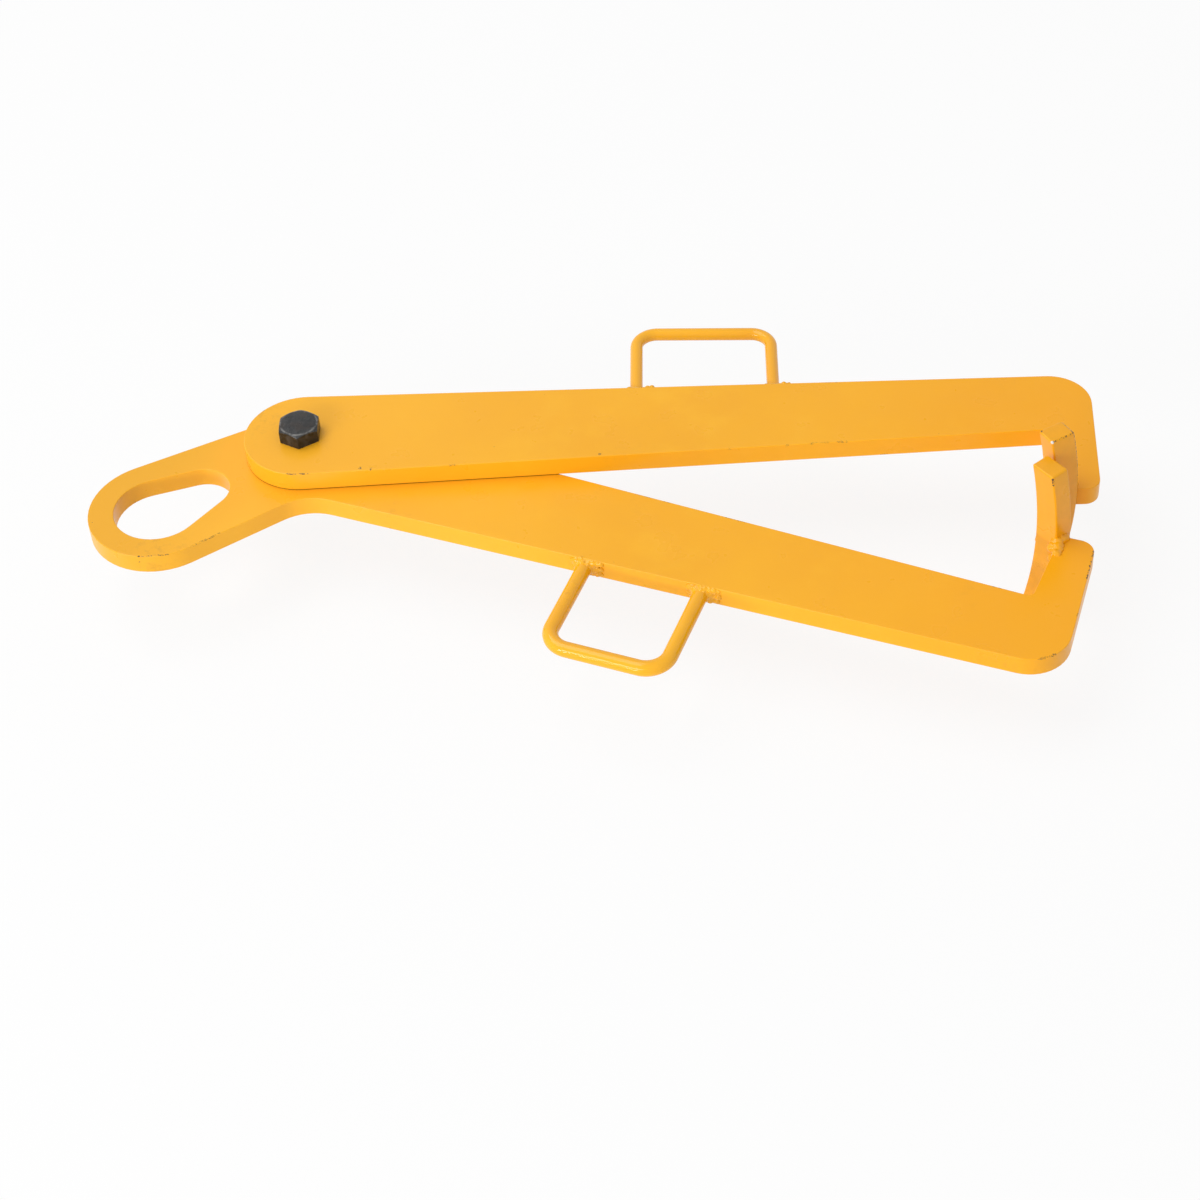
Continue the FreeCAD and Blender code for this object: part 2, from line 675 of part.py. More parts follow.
sub_parts = [
    build_bolt(),
    build_washer(),
    build_nut(),
    build_insert(),
]
for name, side, plate_z, face_z in (("upper", UPPER, UPPER_PLATE_Z, UPPER_FACE_Z),
                                    ("lower", LOWER, LOWER_PLATE_Z, LOWER_FACE_Z)):
    arm = build_arm(f"{name}_arm", side, plate_z)
    jaw = build_jaw(name, side, plate_z)
    sub_parts += [notch(arm, jaw), jaw, build_jaw_weld(name, side, face_z, jaw)]
    sub_parts.append(build_handle(name, side, plate_z))
    for end in ("near", "far"):
        sub_parts.append(build_handle_weld(name, side, plate_z, end))
doc.recompute()

for item in doc.Objects:
    assert "Invalid" not in item.State and "Error" not in item.State, f"{item.Label} failed"
for part in sub_parts:
    assert not part.Shape.isNull() and part.Shape.isValid(), f"{part.Label} has no valid shape"

os.makedirs("parts", exist_ok=True)
for part in sub_parts:
    part.Shape.exportStep(f"parts/{part.Label}.step")
    print(part.Label, len(part.Shape.Solids), round(part.Shape.Volume, 1))
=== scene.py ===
"""Looks of the lifting tongs, in metres, on the solids' frame: paint, lumpy welds and a black bolt."""
import json
import math

import bmesh
import bpy
from mathutils import Matrix, Vector, noise


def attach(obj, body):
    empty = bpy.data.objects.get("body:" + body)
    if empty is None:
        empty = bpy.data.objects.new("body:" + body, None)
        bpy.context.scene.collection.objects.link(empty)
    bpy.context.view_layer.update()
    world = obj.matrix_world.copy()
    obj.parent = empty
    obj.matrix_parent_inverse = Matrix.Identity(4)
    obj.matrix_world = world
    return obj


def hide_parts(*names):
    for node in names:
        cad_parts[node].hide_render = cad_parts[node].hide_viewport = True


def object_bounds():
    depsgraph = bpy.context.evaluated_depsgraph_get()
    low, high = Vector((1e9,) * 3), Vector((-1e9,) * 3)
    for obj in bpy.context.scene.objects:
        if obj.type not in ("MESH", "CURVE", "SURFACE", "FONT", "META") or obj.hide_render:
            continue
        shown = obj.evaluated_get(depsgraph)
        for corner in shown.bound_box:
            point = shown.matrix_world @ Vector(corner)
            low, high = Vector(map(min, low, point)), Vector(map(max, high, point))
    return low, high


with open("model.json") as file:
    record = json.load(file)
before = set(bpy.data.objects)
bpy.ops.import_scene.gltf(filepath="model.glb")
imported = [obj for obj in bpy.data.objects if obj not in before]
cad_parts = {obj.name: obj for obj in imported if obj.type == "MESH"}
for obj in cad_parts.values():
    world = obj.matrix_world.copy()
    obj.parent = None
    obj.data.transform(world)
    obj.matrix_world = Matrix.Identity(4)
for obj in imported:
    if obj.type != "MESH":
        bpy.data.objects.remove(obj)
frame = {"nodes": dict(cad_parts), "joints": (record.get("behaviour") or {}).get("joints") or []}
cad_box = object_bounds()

MM = 0.001
UP = Vector((0.0, 0.0, 1.0))
nodes = frame["nodes"]


# Where things are, from the solids' sizes

PIVOT = Vector(frame["joints"][0]["pos_m"])
UPPER, LOWER = 1, -1
ARM_TURN = {UPPER: math.radians(9.900), LOWER: math.radians(-10.293)}
ARM_BODY = {UPPER: "swing_arm", LOWER: "eye_arm"}
SIDE_NAME = {UPPER: "upper", LOWER: "lower"}
EDGE_OUT = 46.0 * MM
PLATE_MIDDLE_Z = {UPPER: 16.3 * MM, LOWER: 0.0}
HALF_PLATE = 8.0 * MM
HANDLE_LEGS = {UPPER: {"near": 261.5 * MM, "far": 370.0 * MM},
               LOWER: {"near": 254.5 * MM, "far": 346.5 * MM}}
ROD_RADIUS = {UPPER: 5.0 * MM, LOWER: 6.0 * MM}
# Half way along each jaw, its biting edge's place along its arm and out from the arm's middle line
JAW_BITE = {UPPER: (576.2 * MM, -98.84 * MM), LOWER: (573.1 * MM, -102.3 * MM)}
JAW_TURN = math.radians(31.0)
JAW_WIDTH, JAW_THICKNESS, JAW_BOW = 21.0 * MM, 16.0 * MM, 7.0 * MM
JAW_TOP_Z = {UPPER: 81.8 * MM, LOWER: 71.0 * MM}


def arm_axes(side):
    """An arm's direction away from the pivot, and the direction square to its outer edge."""
    along = Vector((math.cos(ARM_TURN[side]), math.sin(ARM_TURN[side]), 0.0))
    out = side * UP.cross(along)
    return along, out


def on_arm(side, along_by, out_by, height):
    """A point given along an arm from the pivot, out from its middle line, and up."""
    along, out = arm_axes(side)
    return Vector((PIVOT.x, PIVOT.y, height)) + along * along_by + out * out_by


def by_jaw(side, wide, deep, height):
    """A point given across a jaw's section, from its biting edge, and up along the bowed bar."""
    bite_along, bite_out = JAW_BITE[side]
    level = (height - PLATE_MIDDLE_Z[side]) / (JAW_TOP_Z[side] - PLATE_MIDDLE_Z[side])
    bow = level ** 2 * JAW_BOW
    along_by = bite_along - bow + wide * math.cos(JAW_TURN) - deep * math.sin(JAW_TURN)
    out_by = bite_out + wide * math.sin(JAW_TURN) + deep * math.cos(JAW_TURN)
    return on_arm(side, along_by, out_by, height)


def on_top(side, x, y):
    """A place on an arm's upper face, from millimetres in the frame."""
    return Vector((x * MM, y * MM, PLATE_MIDDLE_Z[side] + HALF_PLATE))


# Materials

class Look:
    """A material's node tree, grown by short calls. Places are read in the object's own space, in metres."""

    def __init__(self, name):
        self.material = bpy.data.materials.new(name)
        self.material.use_nodes = True
        self.tree = self.material.node_tree
        self.shader = self.tree.nodes["Principled BSDF"]
        self.place = self.node("ShaderNodeTexCoord").outputs["Object"]

    def node(self, kind, settings=None, inputs=None):
        made = self.tree.nodes.new(kind)
        for key, value in (settings or {}).items():
            setattr(made, key, value)
        for key, value in (inputs or {}).items():
            self.feed(made.inputs[key], value)
        return made

    def feed(self, socket, value):
        """Sets a socket to a value, or links it to another node's output."""
        if isinstance(value, bpy.types.NodeSocket):
            self.tree.links.new(value, socket)
        else:
            socket.default_value = value

    def noise(self, size, detail=2.0, roughness=0.5, stretch=None):
        """Noise from 0 to 1 whose features are about `size` metres across."""
        place = self.place
        if stretch:
            mapping = self.node("ShaderNodeMapping", {}, {"Vector": place, "Scale": stretch})
            place = mapping.outputs["Vector"]
        inputs = {"Vector": place, "Scale": 1.0 / size, "Detail": detail, "Roughness": roughness}
        return self.node("ShaderNodeTexNoise", {}, inputs).outputs["Fac"]

    def step(self, value, low, high, low_out=0.0, high_out=1.0):
        """A soft step of a value between two levels."""
        inputs = {"Value": value, "From Min": low, "From Max": high, "To Min": low_out, "To Max": high_out}
        return self.node("ShaderNodeMapRange", {"interpolation_type": "SMOOTHSTEP"}, inputs).outputs["Result"]

    def math(self, operation, first, second):
        made = self.node("ShaderNodeMath", {"operation": operation}, {0: first, 1: second})
        return made.outputs["Value"]

    def mix(self, share, first, second):
        """One colour over another by a share from 0 to 1."""
        made = self.node("ShaderNodeMix", {"data_type": "RGBA"})
        self.feed(made.inputs["Factor"], share)
        self.feed(made.inputs[6], first)
        self.feed(made.inputs[7], second)
        return made.outputs[2]

    def edges(self, reach):
        """1 on sharp outer and inner edges, falling to 0 at `reach` metres from them."""
        rounded = self.node("ShaderNodeBevel", {"samples": 6}, {"Radius": reach}).outputs["Normal"]
        flat = self.node("ShaderNodeNewGeometry").outputs["Normal"]
        likeness = self.node("ShaderNodeVectorMath", {"operation": "DOT_PRODUCT"}, {0: rounded, 1: flat})
        no_edge, full_edge = 0.99, 0.92
        return self.step(likeness.outputs["Value"], no_edge, full_edge)

    def specks(self, spacing, radius, share):
        """Small round marks in some cells of a grid of scattered points."""
        inputs = {"Vector": self.place, "Scale": 1.0 / spacing}
        cells = self.node("ShaderNodeTexVoronoi", {}, inputs)
        mark = self.step(cells.outputs["Distance"], radius / spacing, 0.6 * radius / spacing)
        pick = self.node("ShaderNodeSeparateColor", {}, {"Color": cells.outputs["Color"]}).outputs["Red"]
        return self.math("MULTIPLY", mark, self.step(pick, 1.0 - share, 1.02 - share))

    def around(self, places, radius):
        """1 within about a radius of any of the places, falling to 0 at the radius."""
        share = None
        for place in places:
            gap = self.node("ShaderNodeVectorMath", {"operation": "DISTANCE"}, {0: self.place, 1: place})
            near = self.step(gap.outputs["Value"], radius, 0.7 * radius)
            share = near if share is None else self.math("MAXIMUM", share, near)
        return share

    def crevices(self, reach):
        """1 in cracks narrower than a reach, 0 on open faces: the mask for painted shade in crevices."""
        open_share = self.node("ShaderNodeAmbientOcclusion", {"samples": 8}, {"Distance": reach})
        open_face, full_crevice = 0.56, 0.20
        return self.step(open_share.outputs["AO"], open_face, full_crevice)

    def bump(self, height, strength, distance, normal=None):
        inputs = {"Height": height, "Strength": strength, "Distance": distance}
        if normal is not None:
            inputs["Normal"] = normal
        return self.node("ShaderNodeBump", {}, inputs).outputs["Normal"]

    def finish(self, colour, roughness, normal, **constants):
        """Links the shader's colour, roughness and normal, and sets its constant values."""
        self.feed(self.shader.inputs["Base Color"], colour)
        self.feed(self.shader.inputs["Roughness"], roughness)
        self.feed(self.shader.inputs["Normal"], normal)
        for key, value in constants.items():
            self.feed(self.shader.inputs[key.replace("_", " ")], value)
        return self.material


# Colours, as linear red, green and blue with full cover
PAINT_DEEP = (0.93, 0.42, 0.008, 1)
PAINT_PLAIN = (0.98, 0.47, 0.010, 1)
PAINT_PALE = (1.0, 0.51, 0.016, 1)
# Painted sheen: paler and bluer, laid on towards the pivot end
PAINT_PIVOT_SHEEN = (0.97, 0.47, 0.024, 1)
# Painted shade: deeper, with less sheen, laid on at the hook end
PAINT_HOOK_SHADE = (0.97, 0.41, 0.001, 1)
# Painted shade: darker, laid on at the eye end
PAINT_EYE_SHADE = (0.84, 0.40, 0.012, 1)
GRIME = (0.30, 0.13, 0.03, 1)
OLIVE_SOOT = (0.52, 0.27, 0.008, 1)
# Painted shade for cracks and narrow corners
CREVICE_SHADE = (0.20, 0.06, 0.004, 1)
BARE_STEEL = (0.070, 0.045, 0.030, 1)
BRIGHT_STEEL = (0.80, 0.79, 0.77, 1)
BOLT_BLACK = (0.006, 0.006, 0.006, 1)
BOLT_GREY = (0.028, 0.028, 0.029, 1)
BOLT_BROWN = (0.022, 0.012, 0.006, 1)
# Rubbed steel and painted highlight on the bolt
BOLT_RUBBED_AND_HIGHLIT = (0.17, 0.165, 0.155, 1)
ZINC_BLUE = (0.56, 0.58, 0.61, 1)
ZINC_YELLOW = (0.64, 0.62, 0.55, 1)
ZINC_DULL = (0.36, 0.35, 0.33, 1)
NYLON_COOL = (0.70, 0.72, 0.73, 1)
NYLON_WARM = (0.80, 0.80, 0.78, 1)
WHITE = (1, 1, 1, 1)

# Radii of the marks in the paint
CHIP = 1.6 * MM
CORNER_CHIP = 3.2 * MM
SCRAPE = 0.9 * MM
JAW_SCRAPE = 1.35 * MM
DOT = 1.0 * MM
GLINT = 2.4 * MM


def paint_tone(look, soot):
    """The coat's colour: cloudy and dirty in places, with painted sheen by the pivot, painted shade at the
    hooks and the eye, and painted shade in its cracks.
    """
    clouds = look.step(look.noise(0.16, detail=3.0), 0.30, 0.72)
    tone = look.mix(clouds, PAINT_DEEP, PAINT_PLAIN)
    patches = look.step(look.noise(0.045, detail=4.0, roughness=0.6), 0.45, 0.80, high_out=0.55)
    tone = look.mix(patches, tone, PAINT_PALE)
    along = look.node("ShaderNodeSeparateXYZ", {}, {"Vector": look.place}).outputs["X"]
    # Painted sheen: the coat paler and bluer towards the pivot end, standing in for more reflected white
    # there
    tone = look.mix(look.step(along, 0.42, 0.10, high_out=0.55), tone, PAINT_PIVOT_SHEEN)
    # Painted shade: the coat deeper and with less sheen towards the hook end
    tone = look.mix(look.step(along, 0.38, 0.72, high_out=0.80), tone, PAINT_HOOK_SHADE)
    # Painted shade: the coat darker towards the eye end
    tone = look.mix(look.step(along, 0.08, -0.03, high_out=0.85), tone, PAINT_EYE_SHADE)
    rubbed_areas = look.step(look.noise(0.11, detail=3.0), 0.55, 0.72)
    rub_grain = look.step(look.noise(0.006, detail=4.0, roughness=0.7), 0.48, 0.66, high_out=0.22)
    tone = look.mix(look.math("MULTIPLY", rubbed_areas, rub_grain), tone, GRIME)
    soot_spots = look.step(look.noise(0.008, detail=3.0), 0.35, 0.70, 0.3 * soot, soot)
    tone = look.mix(soot_spots, tone, OLIVE_SOOT)
    # Painted shade: the coat darkened in cracks and narrow corners, such as between the plates
    cracks = look.math("MULTIPLY", look.crevices(4.0 * MM), 0.85)
    return look.mix(cracks, tone, CREVICE_SHADE)


def paint_chips(look, wear, scuffs):
    """1 where the coat is off: ragged chips along edges, a few specks on the faces, and the given scuffs."""
    ragged = look.step(look.noise(0.0022, detail=3.0, roughness=0.7), 0.47, 0.56)
    edge = look.edges(1.9 * MM + wear ** 2 * 2.5 * MM)
    chip_start = 0.80 - 0.50 * wear
    stretch = look.step(look.noise(0.035), chip_start, chip_start + 0.09)
    chipped = look.math("MULTIPLY", look.math("MULTIPLY", edge, stretch), ragged)
    specks = look.math("MAXIMUM", look.specks(0.030, 0.9 * MM, 0.10), look.specks(0.013, 0.5 * MM, 0.05))
    bare = look.math("MAXIMUM", look.step(chipped, 0.25, 0.5), look.math("MULTIPLY", specks, ragged))
    for radius, places in scuffs:
        torn = look.math("MULTIPLY", look.around(places, radius), ragged)
        bare = look.math("MAXIMUM", bare, torn)
    return bare


def paint_look(name, wear, smooth, rough, soot=0.0, ripple=1.0, scuffs=(), glints=()):
    """Yellow-orange paint, between a smooth and a rough gloss.

    `wear` from 0 to 1 sets how much of the edges is chipped to dark steel, `soot` how dirty the faces are,
    and `ripple` how uneven the coat is. `scuffs` are dark chips, each a radius and the places that have it,
    and `glints` are places rubbed down to bright steel.
    """
    look = Look(name)
    bare = paint_chips(look, wear, scuffs)
    colour = look.mix(bare, paint_tone(look, soot), BARE_STEEL)
    if glints:
        colour = look.mix(look.around(glints, GLINT), colour, BRIGHT_STEEL)
    gloss = look.step(look.noise(0.020, detail=3.0), 0.3, 0.7, smooth, rough)
    roughness = look.math("MAXIMUM", gloss, look.math("MULTIPLY", bare, 0.6))
    waves = look.bump(look.noise(0.012), 0.10 * ripple, 0.4 * MM)
    peel = look.bump(look.noise(0.0016), 0.10 * ripple, 0.06 * MM, waves)
    pits = look.bump(bare, 0.6, -0.10 * MM, peel)
    return look.finish(colour, roughness, pits, Specular_IOR_Level=0.38)


def black_bolt_look():
    """Black oxide on forged steel, scratched on the head, and brighter along its edges and round its chamfer,
    partly as rubbed steel and partly as a painted highlight.
    """
    look = Look("black_bolt_look")
    clouds = look.step(look.noise(0.005, detail=4.0, roughness=0.7), 0.36, 0.66)
    tone = look.mix(clouds, BOLT_BLACK, BOLT_GREY)
    rust = look.step(look.noise(0.010, detail=3.0), 0.50, 0.70, high_out=0.6)
    tone = look.mix(rust, tone, BOLT_BROWN)
    flat = look.node("ShaderNodeVectorMath", {"operation": "MULTIPLY"}, {0: look.place, 1: (1.0, 1.0, 0.0)})
    from_axis = look.node("ShaderNodeVectorMath", {"operation": "DISTANCE"},
                          {0: flat.outputs["Vector"], 1: (PIVOT.x, PIVOT.y, 0.0)}).outputs["Value"]
    # Painted highlight: a lighter ring round the head's chamfer
    past_land = look.step(from_axis, 13.2 * MM, 14.0 * MM)
    before_flats = look.step(from_axis, 15.2 * MM, 14.6 * MM)
    ring = look.math("MULTIPLY", past_land, before_flats)
    scratch_noise = look.noise(0.0022, detail=3.0, roughness=0.7, stretch=(1.0, 0.22, 1.0))
    scratches = look.step(scratch_noise, 0.60, 0.72, high_out=0.45)
    # The scratches are wear; the chamfer ring and the edges are lighter partly as rubbed steel and partly as
    # painted highlight
    rubbed_and_highlit = look.math("MAXIMUM", look.math("MAXIMUM", ring, look.edges(0.9 * MM)), scratches)
    rubbed_and_highlit = look.math("MULTIPLY", rubbed_and_highlit, look.step(look.noise(0.004, detail=3.0), 0.38, 0.62, 0.1, 0.8))
    colour = look.mix(rubbed_and_highlit, tone, BOLT_RUBBED_AND_HIGHLIT)
    roughness = look.step(look.noise(0.003, detail=4.0, roughness=0.65), 0.3, 0.7, 0.26, 0.46)
    scale = look.bump(look.noise(0.0014, detail=4.0, roughness=0.65), 0.30, 0.10 * MM)
    return look.finish(colour, roughness, scale, Metallic=0.20, Specular_IOR_Level=0.48)


def zinc_look():
    """Bright zinc plate: a faint blue-yellow cast, fine turning lines and dull spots."""
    look = Look("zinc_steel_look")
    cast = look.mix(look.step(look.noise(0.010, detail=3.0), 0.35, 0.7), ZINC_BLUE, ZINC_YELLOW)
    dull = look.step(look.noise(0.004, detail=4.0, roughness=0.7), 0.56, 0.70, high_out=0.6)
    colour = look.mix(dull, cast, ZINC_DULL)
    lines = look.noise(0.0010, stretch=(0.15, 0.15, 1.0))
    roughness = look.step(look.math("ADD", dull, lines), 0.3, 1.1, 0.22, 0.48)
    return look.finish(colour, roughness, look.bump(lines, 0.2, 0.05 * MM), Metallic=1.0)


def nylon_look():
    """The lock nut's plastic ring, slightly see-through and marked by the thread."""
    look = Look("nylon_look")
    cloud = look.noise(0.004, detail=3.0)
    colour = look.mix(look.step(cloud, 0.3, 0.7), NYLON_COOL, NYLON_WARM)
    roughness = look.step(look.noise(0.002), 0.3, 0.7, 0.38, 0.52)
    return look.finish(colour, roughness, look.bump(cloud, 0.15, 0.08 * MM), Subsurface_Weight=0.2)


def between(start, end, count):
    """Evenly spaced places from one to another."""
    return [start.lerp(end, index / (count - 1)) for index in range(count)]


def down_jaw(side, wide, deep, start, end, count):
    """Places on one of a jaw's long edges, between two distances down from its top."""
    steps = [start + (end - start) * index / (count - 1) for index in range(count)]
    return [by_jaw(side, wide, deep, JAW_TOP_Z[side] - step) for step in steps]


def jaw_top(side, wide, deep):
    """A corner of a jaw's top."""
    return by_jaw(side, wide, deep, JAW_TOP_Z[side])


# Chips seen in the photograph, on the plates' upper edges and faces and on the jaws
FRONT_EDGE_DASHES = between(on_top(UPPER, 92.4, 34.0), on_top(UPPER, 114.5, 36.9), 20)
FRONT_EDGE_CHIPS = [on_top(UPPER, 149.5, 48.5), on_top(UPPER, 158.2, 48.5), on_top(UPPER, 329.5, 88.5)]
EYE_RIM_SCRAPE = between(on_top(LOWER, 2.0, -53.0), on_top(LOWER, 24.0, -48.0), 20)
EYE_CHIPS = [on_top(LOWER, -45.0, -22.2), on_top(LOWER, 2.0, -53.0) - UP * (6.0 * MM)]
OUTER_CORNER_CHIPS = between(on_top(LOWER, 686.0, -63.5), on_top(LOWER, 697.0, -58.0), 6)
HOOK_EDGE_CHIPS = between(on_top(LOWER, 709.3, 46.8), on_top(LOWER, 706.3, 18.6), 12)
LOWER_JAW_EDGE_CHIPS = down_jaw(LOWER, JAW_WIDTH, JAW_THICKNESS, 2.0 * MM, 7.0 * MM, 4)
UPPER_JAW_FRONT = jaw_top(UPPER, 0.0, 0.0)
UPPER_JAW_RIGHT = jaw_top(UPPER, JAW_WIDTH, 0.0)
UPPER_JAW_LEFT = jaw_top(UPPER, 0.0, JAW_THICKNESS)
UPPER_JAW_BACK = jaw_top(UPPER, JAW_WIDTH, JAW_THICKNESS)
UPPER_JAW_TOP_SCRAPE = (between(UPPER_JAW_FRONT, UPPER_JAW_RIGHT, 12)
                        + between(UPPER_JAW_BACK, UPPER_JAW_RIGHT, 10))
UPPER_JAW_SIDE_SCRAPE = down_jaw(UPPER, JAW_WIDTH, 0.0, 0.0, 46.0 * MM, 26)

grip_paint = paint_look("yellow_paint_look", wear=0.20, smooth=0.05, rough=0.08, ripple=0.2)
weld_paint = paint_look("yellow_paint_weld_look", wear=0.0, smooth=0.12, rough=0.20, soot=0.22)
upper_paint = paint_look("yellow_paint_upper_look", wear=0.40, smooth=0.27, rough=0.37,
                         scuffs=[(SCRAPE, FRONT_EDGE_DASHES), (CHIP, FRONT_EDGE_CHIPS)])
lower_paint = paint_look("yellow_paint_lower_look", wear=0.40, smooth=0.27, rough=0.37,
                         scuffs=[(SCRAPE, EYE_RIM_SCRAPE), (DOT, EYE_CHIPS),
                                 (CHIP, OUTER_CORNER_CHIPS + HOOK_EDGE_CHIPS)])
lower_jaw_paint = paint_look("yellow_paint_lower_jaw_look", wear=0.40, smooth=0.27, rough=0.37, soot=0.15,
                             scuffs=[(CHIP, LOWER_JAW_EDGE_CHIPS)])
upper_jaw_paint = paint_look("yellow_paint_upper_jaw_look", wear=0.65, smooth=0.27, rough=0.37, soot=0.15,
                             scuffs=[(JAW_SCRAPE, UPPER_JAW_TOP_SCRAPE + UPPER_JAW_SIDE_SCRAPE),
                                     (CORNER_CHIP, [UPPER_JAW_LEFT, UPPER_JAW_RIGHT])],
                             glints=[UPPER_JAW_FRONT])
black_bolt = black_bolt_look()
zinc = zinc_look()
nylon = nylon_look()


# The solids that stay, with rounded edges and the new materials

def soften_edges(node, width):
    """Joins the faces along their edges and rounds the sharp ones."""
    weld = node.modifiers.new("join_faces", "WELD")
    weld.merge_threshold = 0.02 * MM
    flat = node.modifiers.new("whole_faces", "DECIMATE")
    flat.decimate_type = "DISSOLVE"
    flat.angle_limit = math.radians(0.5)
    bevel = node.modifiers.new("round_edges", "BEVEL")
    bevel.width = width
    bevel.segments = 3
    bevel.limit_method = "ANGLE"
    bevel.angle_limit = math.radians(40.0)
    bevel.use_clamp_overlap = False
    node.modifiers.new("even_shading", "WEIGHTED_NORMAL")


KEPT_NODES = {
    "lower_arm": (lower_paint, 0.6 * MM),
    "upper_arm": (upper_paint, 0.6 * MM),
    "lower_jaw": (lower_jaw_paint, 1.5 * MM),
    "upper_jaw": (upper_jaw_paint, 1.5 * MM),
    "lower_handle": (grip_paint, None),
    "upper_handle": (grip_paint, None),
    "nut_washer": (zinc, 0.4 * MM),
    "lock_nut": (zinc, 0.3 * MM),
    "nut_insert": (nylon, 0.3 * MM),
}
for name, (material, width) in KEPT_NODES.items():
    nodes[name].material_slots[0].material = material
    if width:
        soften_edges(nodes[name], width)


def add_piece(name, mesh, material, body, replaced):
    """A new piece that stands for a solid and rides on its body."""
    piece = bpy.data.objects.new(name, mesh)
    bpy.context.scene.collection.objects.link(piece)
    mesh.materials.clear()
    mesh.materials.append(material)
    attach(piece, body)
    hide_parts(replaced)


# The weld beads

BEAD_VOXEL = 0.55 * MM
BEAD_GRAIN = 3.0 * MM
BEAD_GRAIN_HEIGHT = 0.40 * MM
BEAD_SEED = 7
SHIFTS_PER_METRE = 300.0
SIZES_PER_METRE = 400.0
noise.seed_set(BEAD_SEED)

# The mound at a grip's leg, in rows at shares of the rod's radius along the plate's edge
MOUND_ROWS = (-1.1, -0.55, 0.0, 0.55, 1.1)
MOUND_RISES = (-4.4 * MM, -1.5 * MM, 1.5 * MM, 4.4 * MM)
MOUND_RADIUS = 3.5 * MM
MOUND_SINK = 0.5 * MM
MOUND_UNEVEN = 0.15
# The rough heap on the mound's jaw side, in rows given by the distance past the rod and the lumps' radius
ROUGH_ROWS = ((3.8 * MM, 2.7 * MM), (7.0 * MM, 2.2 * MM))
ROUGH_RISES = (-4.6 * MM, 0.0, 5.4 * MM)
ROUGH_STAND = {UPPER: 0.9 * MM, LOWER: -0.2 * MM}
ROUGH_UNEVEN = 0.45
# Loose lumps on its pivot side, each given by the distance past the rod, the rise and the radius
LOOSE_LUMPS = {UPPER: (), LOWER: ((3.6 * MM, 4.0 * MM, 2.4 * MM), (2.6 * MM, -1.0 * MM, 2.0 * MM))}
LOOSE_UNEVEN = 0.2
# The collar round the leg
COLLAR_COUNT = 12
COLLAR_RADIUS = 1.9 * MM
COLLAR_SINK = 0.6 * MM
COLLAR_STAND = 2.4 * MM
COLLAR_UNEVEN = 0.2
# The ridge along a jaw's far face, from a share of the jaw's thickness to its end
RIDGE_COUNT = 8
RIDGE_START = 0.42
RIDGE_RADIUS = 4.6 * MM
RIDGE_SINK = 0.3 * MM
RIDGE_UNEVEN = 0.25
# The heap at the ridge's end, each lump given by its place past the jaw's width and thickness and its radius
HEAP_LUMPS = (
    (2.5 * MM, 1.0 * MM, 5.0 * MM),
    (1.0 * MM, 4.0 * MM, 4.2 * MM),
    (5.5 * MM, 3.5 * MM, 4.6 * MM),
    (8.0 * MM, 7.0 * MM, 4.0 * MM),
)
HEAP_SINK = 1.2 * MM
HEAP_UNEVEN = 0.2


def melted(lumps):
    """Round lumps, each a centre and a radius, run together into one rough skin."""
    shape = bmesh.new()
    for centre, radius in lumps:
        bmesh.ops.create_icosphere(shape, subdivisions=2, radius=radius, matrix=Matrix.Translation(centre))
    mesh = bpy.data.meshes.new("bead")
    shape.to_mesh(mesh)
    shape.free()
    raw = bpy.data.objects.new("bead", mesh)
    bpy.context.scene.collection.objects.link(raw)
    remesh = raw.modifiers.new("run_together", "REMESH")
    remesh.mode = "VOXEL"
    remesh.voxel_size = BEAD_VOXEL
    smooth = raw.modifiers.new("surface_tension", "SMOOTH")
    smooth.iterations = 3
    depsgraph = bpy.context.evaluated_depsgraph_get()
    skin = bpy.data.meshes.new_from_object(raw.evaluated_get(depsgraph))
    bpy.data.objects.remove(raw)
    for vertex in skin.vertices:
        grain = noise.noise(vertex.co / BEAD_GRAIN)
        vertex.co += vertex.normal * (BEAD_GRAIN_HEIGHT * grain)
    skin.shade_smooth()
    return skin


def lump(place, radius, unevenness):
    """A lump of weld, moved and resized by a fixed noise of its place."""
    shift = noise.noise_vector(place * SHIFTS_PER_METRE) * (unevenness * radius)
    return place + shift, radius * (1.0 + unevenness * noise.noise(place * SIZES_PER_METRE))


def leg_lumps(side, leg):
    """A mound on the plate's edge round a grip's leg, rough on the jaws' side, and a collar up the leg."""
    along, out = arm_axes(side)
    foot = on_arm(side, leg, EDGE_OUT, PLATE_MIDDLE_Z[side])
    rod = ROD_RADIUS[side]
    lumps = []
    for share in MOUND_ROWS:
        for rise in MOUND_RISES:
            place = foot + along * (share * rod) + UP * rise - out * MOUND_SINK
            lumps.append(lump(place, MOUND_RADIUS, MOUND_UNEVEN))
    for past_rod, radius in ROUGH_ROWS:
        for rise in ROUGH_RISES:
            place = foot + along * (rod + past_rod) + UP * rise + out * ROUGH_STAND[side]
            lumps.append(lump(place, radius, ROUGH_UNEVEN))
    for past_rod, rise, radius in LOOSE_LUMPS[side]:
        place = foot - along * (rod + past_rod) + UP * rise
        lumps.append(lump(place, radius, LOOSE_UNEVEN))
    for index in range(COLLAR_COUNT):
        turn = 2.0 * math.pi * index / COLLAR_COUNT
        sideways = along * math.cos(turn) + UP * math.sin(turn)
        place = foot + sideways * (rod - COLLAR_SINK) + out * COLLAR_STAND
        lumps.append(lump(place, COLLAR_RADIUS, COLLAR_UNEVEN))
    return lumps


